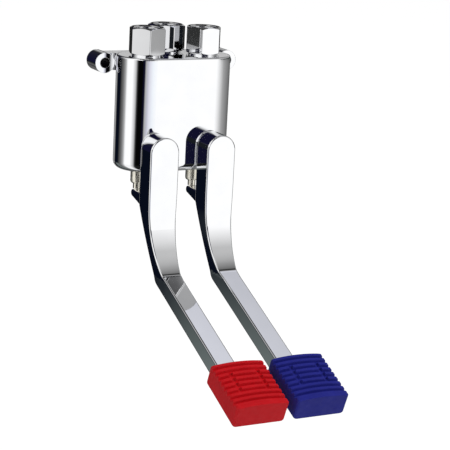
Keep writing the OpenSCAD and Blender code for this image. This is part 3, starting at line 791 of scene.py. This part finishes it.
def white_to_eye(nodes, links):
    """1 for camera, glossy and transmission rays."""
    path = nodes.new("ShaderNodeLightPath")
    first = math_node(nodes, "ShaderNodeMath", "MAXIMUM")
    links.new(path.outputs["Is Camera Ray"], first.inputs[0])
    links.new(path.outputs["Is Glossy Ray"], first.inputs[1])
    second = math_node(nodes, "ShaderNodeMath", "MAXIMUM")
    links.new(first.outputs[0], second.inputs[0])
    links.new(path.outputs["Is Transmission Ray"], second.inputs[1])
    return second.outputs[0]


def mix_shaders(nodes, links, fac, first, second, output):
    mix = nodes.new("ShaderNodeMixShader")
    links.new(fac, mix.inputs["Fac"])
    links.new(first.outputs[0], mix.inputs[1])
    links.new(second.outputs[0], mix.inputs[2])
    links.new(mix.outputs[0], nodes[output].inputs["Surface"])


def make_world():
    """Soft light for the surfaces, plain white for the eye."""
    world = bpy.data.worlds.new("studio")
    bpy.context.scene.world = world
    world.use_nodes = True
    nodes, links = world.node_tree.nodes, world.node_tree.links
    soft, white = nodes["Background"], nodes.new("ShaderNodeBackground")
    for background, strength in ((soft, WORLD_SOFT), (white, WORLD_WHITE)):
        background.inputs["Color"].default_value = (1, 1, 1, 1)
        background.inputs["Strength"].default_value = strength
    mix_shaders(nodes, links, white_to_eye(nodes, links), soft, white, "World Output")


def make_floor():
    """Pale floor that fades into the white and keeps a faint shadow."""
    bpy.ops.mesh.primitive_plane_add(size=FLOOR_SIZE, location=(0, 0, cad_box[0][2] - FLOOR_DROP))
    floor = bpy.context.object
    floor.name = "floor"
    mat, nodes, links, shader = tree("floor_white")
    shader.inputs["Base Color"].default_value = (FLOOR_TONE, FLOOR_TONE, FLOOR_TONE, 1)
    shader.inputs["Roughness"].default_value = FLOOR_ROUGHNESS
    glow = nodes.new("ShaderNodeEmission")
    glow.inputs["Strength"].default_value = FLOOR_GLOW
    share = math_node(nodes, "ShaderNodeMath", "MULTIPLY")
    share.inputs[1].default_value = FLOOR_GLOW_SHARE
    links.new(white_to_eye(nodes, links), share.inputs[0])
    mix_shaders(nodes, links, share.outputs[0], shader, glow, "Material Output")
    floor.data.materials.append(mat)
    floor.visible_glossy = False


make_world()
make_floor()

# Tone of the panels by compass direction (degrees from +X towards +Y), in bands of height
LAVENDER = (0.63, 0.64, 0.7)
NAVY = (0.006, 0.006, 0.024)
INK = (0.0025, 0.004, 0.01)
COAL = (0.01, 0.012, 0.015)
SLATE = (0.14, 0.165, 0.16)
UNDER_PANELS = [
    (-180, 0.9), (-163, 0.9), (-155, 0.6), (-150, 0.45), (-144, 0.05), (-139, 0.01), (-118, 0.01),
    (-108, 0.4), (-95, 0.9), (-50, 1.0), (-26, 0.6), (0, 0.3), (60, 0.15), (96, 0.1), (104, INK),
    (114.6, INK), (117.0, SLATE), (133, SLATE), (142, 0.1), (154, 0.2), (165, 0.4), (173, 0.9), (180, 0.9)]
LOW_PANELS = [
    (-180, 1.0), (-163, 1.0), (-155, 0.7), (-150, 0.5), (-144, 0.04), (-139, 0.002), (-124, 0.002),
    (-115, NAVY), (-110.5, 0.42), (-103, (0.52, 0.52, 0.6)), (-95, (0.72, 0.72, 0.8)),
    (-82, (0.86, 0.9, 0.95)), (-64, 1.0), (-50, 1.0), (-37, 0.78), (-26, 0.58), (-14, 0.36), (0, 0.27),
    (17, 0.2), (45, 0.1), (70, 0.04), (84, 0.1), (93, 0.4), (104, 0.25), (109, 0.05), (112, INK),
    (134, INK), (142, 0.06), (154, 0.16), (165, 0.4), (173, 0.95), (180, 1.0)]
HEX_PANELS = [
    (-180, 1.0), (-163, 1.0), (-155, 0.7), (-150, 0.5), (-144, 0.04), (-139, COAL), (-113, COAL),
    (-105, 0.4), (-82, 0.9), (-64, 1.0), (-50, 1.0), (-42, 0.8), (-36, 0.4), (-33, 0.3), (-29, 0.03),
    (0, (0.04, 0.05, 0.047)), (30, (0.028, 0.036, 0.034)), (52, 0.02), (84, 0.012), (100, 0.06),
    (112, NAVY), (134, NAVY), (154, 0.2), (173, 0.9), (180, 1.0)]
RIM_PANELS = [
    (-180, 1.0), (-128, 1.0), (-117, NAVY), (-75, NAVY), (-68, 0.8), (-63, 1.0), (-50, 0.95), (-37, 0.7),
    (-20, 0.4), (0, 0.3), (30, 0.3), (50, 0.5), (72, 0.5), (82, 0.02), (116, NAVY), (128, 0.1),
    (150, 0.5), (175, 1.0), (180, 1.0)]
SIDE_PANELS = [
    (-180, 1.0), (-130, 0.9), (-117, NAVY), (-78, NAVY), (-70, 0.5), (-60, 0.52), (-40, 0.45), (0, 0.4),
    (30, 0.3), (52, 0.02), (112, NAVY), (128, 0.2), (150, 0.6), (180, 1.0)]
HIGH_PANELS = [
    (-180, 0.9), (-155, 0.9), (-147, 0.02), (-124, 0.02), (-114, 0.75), (-80, 0.7), (-46, 0.38),
    (-28, 0.16), (-16, 0.03), (2, 0.03), (18, 0.3), (32, LAVENDER), (48, LAVENDER), (53, 0.03),
    (150, 0.03), (166, 0.9), (180, 0.9)]
TOP_PANELS = [(-180, 0.05), (-60, 0.02), (60, 0.05), (180, 0.05)]
# Each band, with the heights in degrees between which it takes over from the band below it
BANDS = [
    (UNDER_PANELS, None), (LOW_PANELS, (-20.5, -15.4)), (HEX_PANELS, (-7.45, -7.25)),
    (RIM_PANELS, (8.5, 8.7)), (SIDE_PANELS, (10, 36)), (HIGH_PANELS, (42, 55)), (TOP_PANELS, (66, 70))]
PANEL_WHITE = 1.08
DOME_R, DOME_PLACE = 6.0, (0, -0.06, -0.08)


def dome():
    """A far dome of pale and dark panels that only reflections see."""
    bpy.ops.mesh.primitive_uv_sphere_add(segments=96, ring_count=48, radius=DOME_R, location=DOME_PLACE)
    obj = bpy.context.object
    obj.name = "reflection_dome"
    obj.data.shade_smooth()
    mat, nodes, links, shader = tree("dome_panels")
    nodes.remove(shader)
    coords = nodes.new("ShaderNodeTexCoord")
    split = nodes.new("ShaderNodeSeparateXYZ")
    links.new(coords.outputs["Object"], split.inputs[0])
    angle = math_node(nodes, "ShaderNodeMath", "ARCTAN2")
    links.new(split.outputs["Y"], angle.inputs[0])
    links.new(split.outputs["X"], angle.inputs[1])
    turn = to_range(nodes, links, angle.outputs[0], 0.0, 1.0, -math.pi, math.pi)
    tone = None
    for panels, span in BANDS:
        band = ramp(nodes, links, turn, [((a + 180) / 360, shown) for a, shown in panels])
        if span:
            share = to_range(nodes, links, split.outputs["Z"], 0, 1, *(DOME_R * sin(h) for h in span))
            band = blend_tones(nodes, links, share, tone, band)
        tone = band
    glow = nodes.new("ShaderNodeEmission")
    glow.inputs["Strength"].default_value = PANEL_WHITE
    links.new(tone, glow.inputs["Color"])
    links.new(glow.outputs[0], nodes["Material Output"].inputs["Surface"])
    obj.data.materials.append(mat)
    obj.visible_camera = False
    obj.visible_diffuse = False
    obj.visible_shadow = False
    obj.visible_transmission = False
    obj.visible_volume_scatter = False


dome()


def soft_light(name, place, aim, size, power):
    data = bpy.data.lights.new(name, "AREA")
    data.shape = "DISK"
    data.size = size
    data.energy = power
    obj = bpy.data.objects.new(name, data)
    bpy.context.scene.collection.objects.link(obj)
    obj.location = place
    obj.rotation_euler = (Vector(aim) - Vector(place)).to_track_quat("-Z", "Y").to_euler()
    obj.visible_glossy = False


LIGHT_AIM, LIGHT_SIZE, KEY_W, FILL_W = (0.0, -0.1, -0.12), 0.9, 21.5, 4.2
soft_light("key", (0.9, -1.0, 1.3), LIGHT_AIM, LIGHT_SIZE, KEY_W)
soft_light("fill", (-1.2, -0.9, 0.5), LIGHT_AIM, LIGHT_SIZE, FILL_W)

# Camera as fitted to the photograph: angles in degrees, focal length and image side in pixels
AZ, EL, ROLL = -27.30, 13.96, 2.97
FOCAL_PX, IMAGE_PX, SENSOR = 1657, 450, 36.0
TARGET, DISTANCE = Vector((45.66, -40.0, -126.35)) * MM, 1.296
back = Vector((sin(AZ) * cos(EL), -cos(AZ) * cos(EL), sin(EL)))
level_right = Vector((cos(AZ), sin(AZ), 0))
level_up = back.cross(level_right)
right = level_right * cos(ROLL) + level_up * sin(ROLL)
up = level_up * cos(ROLL) - level_right * sin(ROLL)
eye = TARGET + back * DISTANCE
camera_data = bpy.data.cameras.new("camera")
camera_data.sensor_width = SENSOR
camera_data.lens = FOCAL_PX / IMAGE_PX * SENSOR
camera_data.clip_start = 0.05
camera_data.clip_end = 100
camera = bpy.data.objects.new("camera", camera_data)
bpy.context.scene.collection.objects.link(camera)
camera.matrix_world = Matrix((
    (right.x, up.x, back.x, eye.x),
    (right.y, up.y, back.y, eye.y),
    (right.z, up.z, back.z, eye.z),
    (0, 0, 0, 1)))
bpy.context.scene.camera = camera
bpy.context.scene.view_settings.view_transform = "Standard"
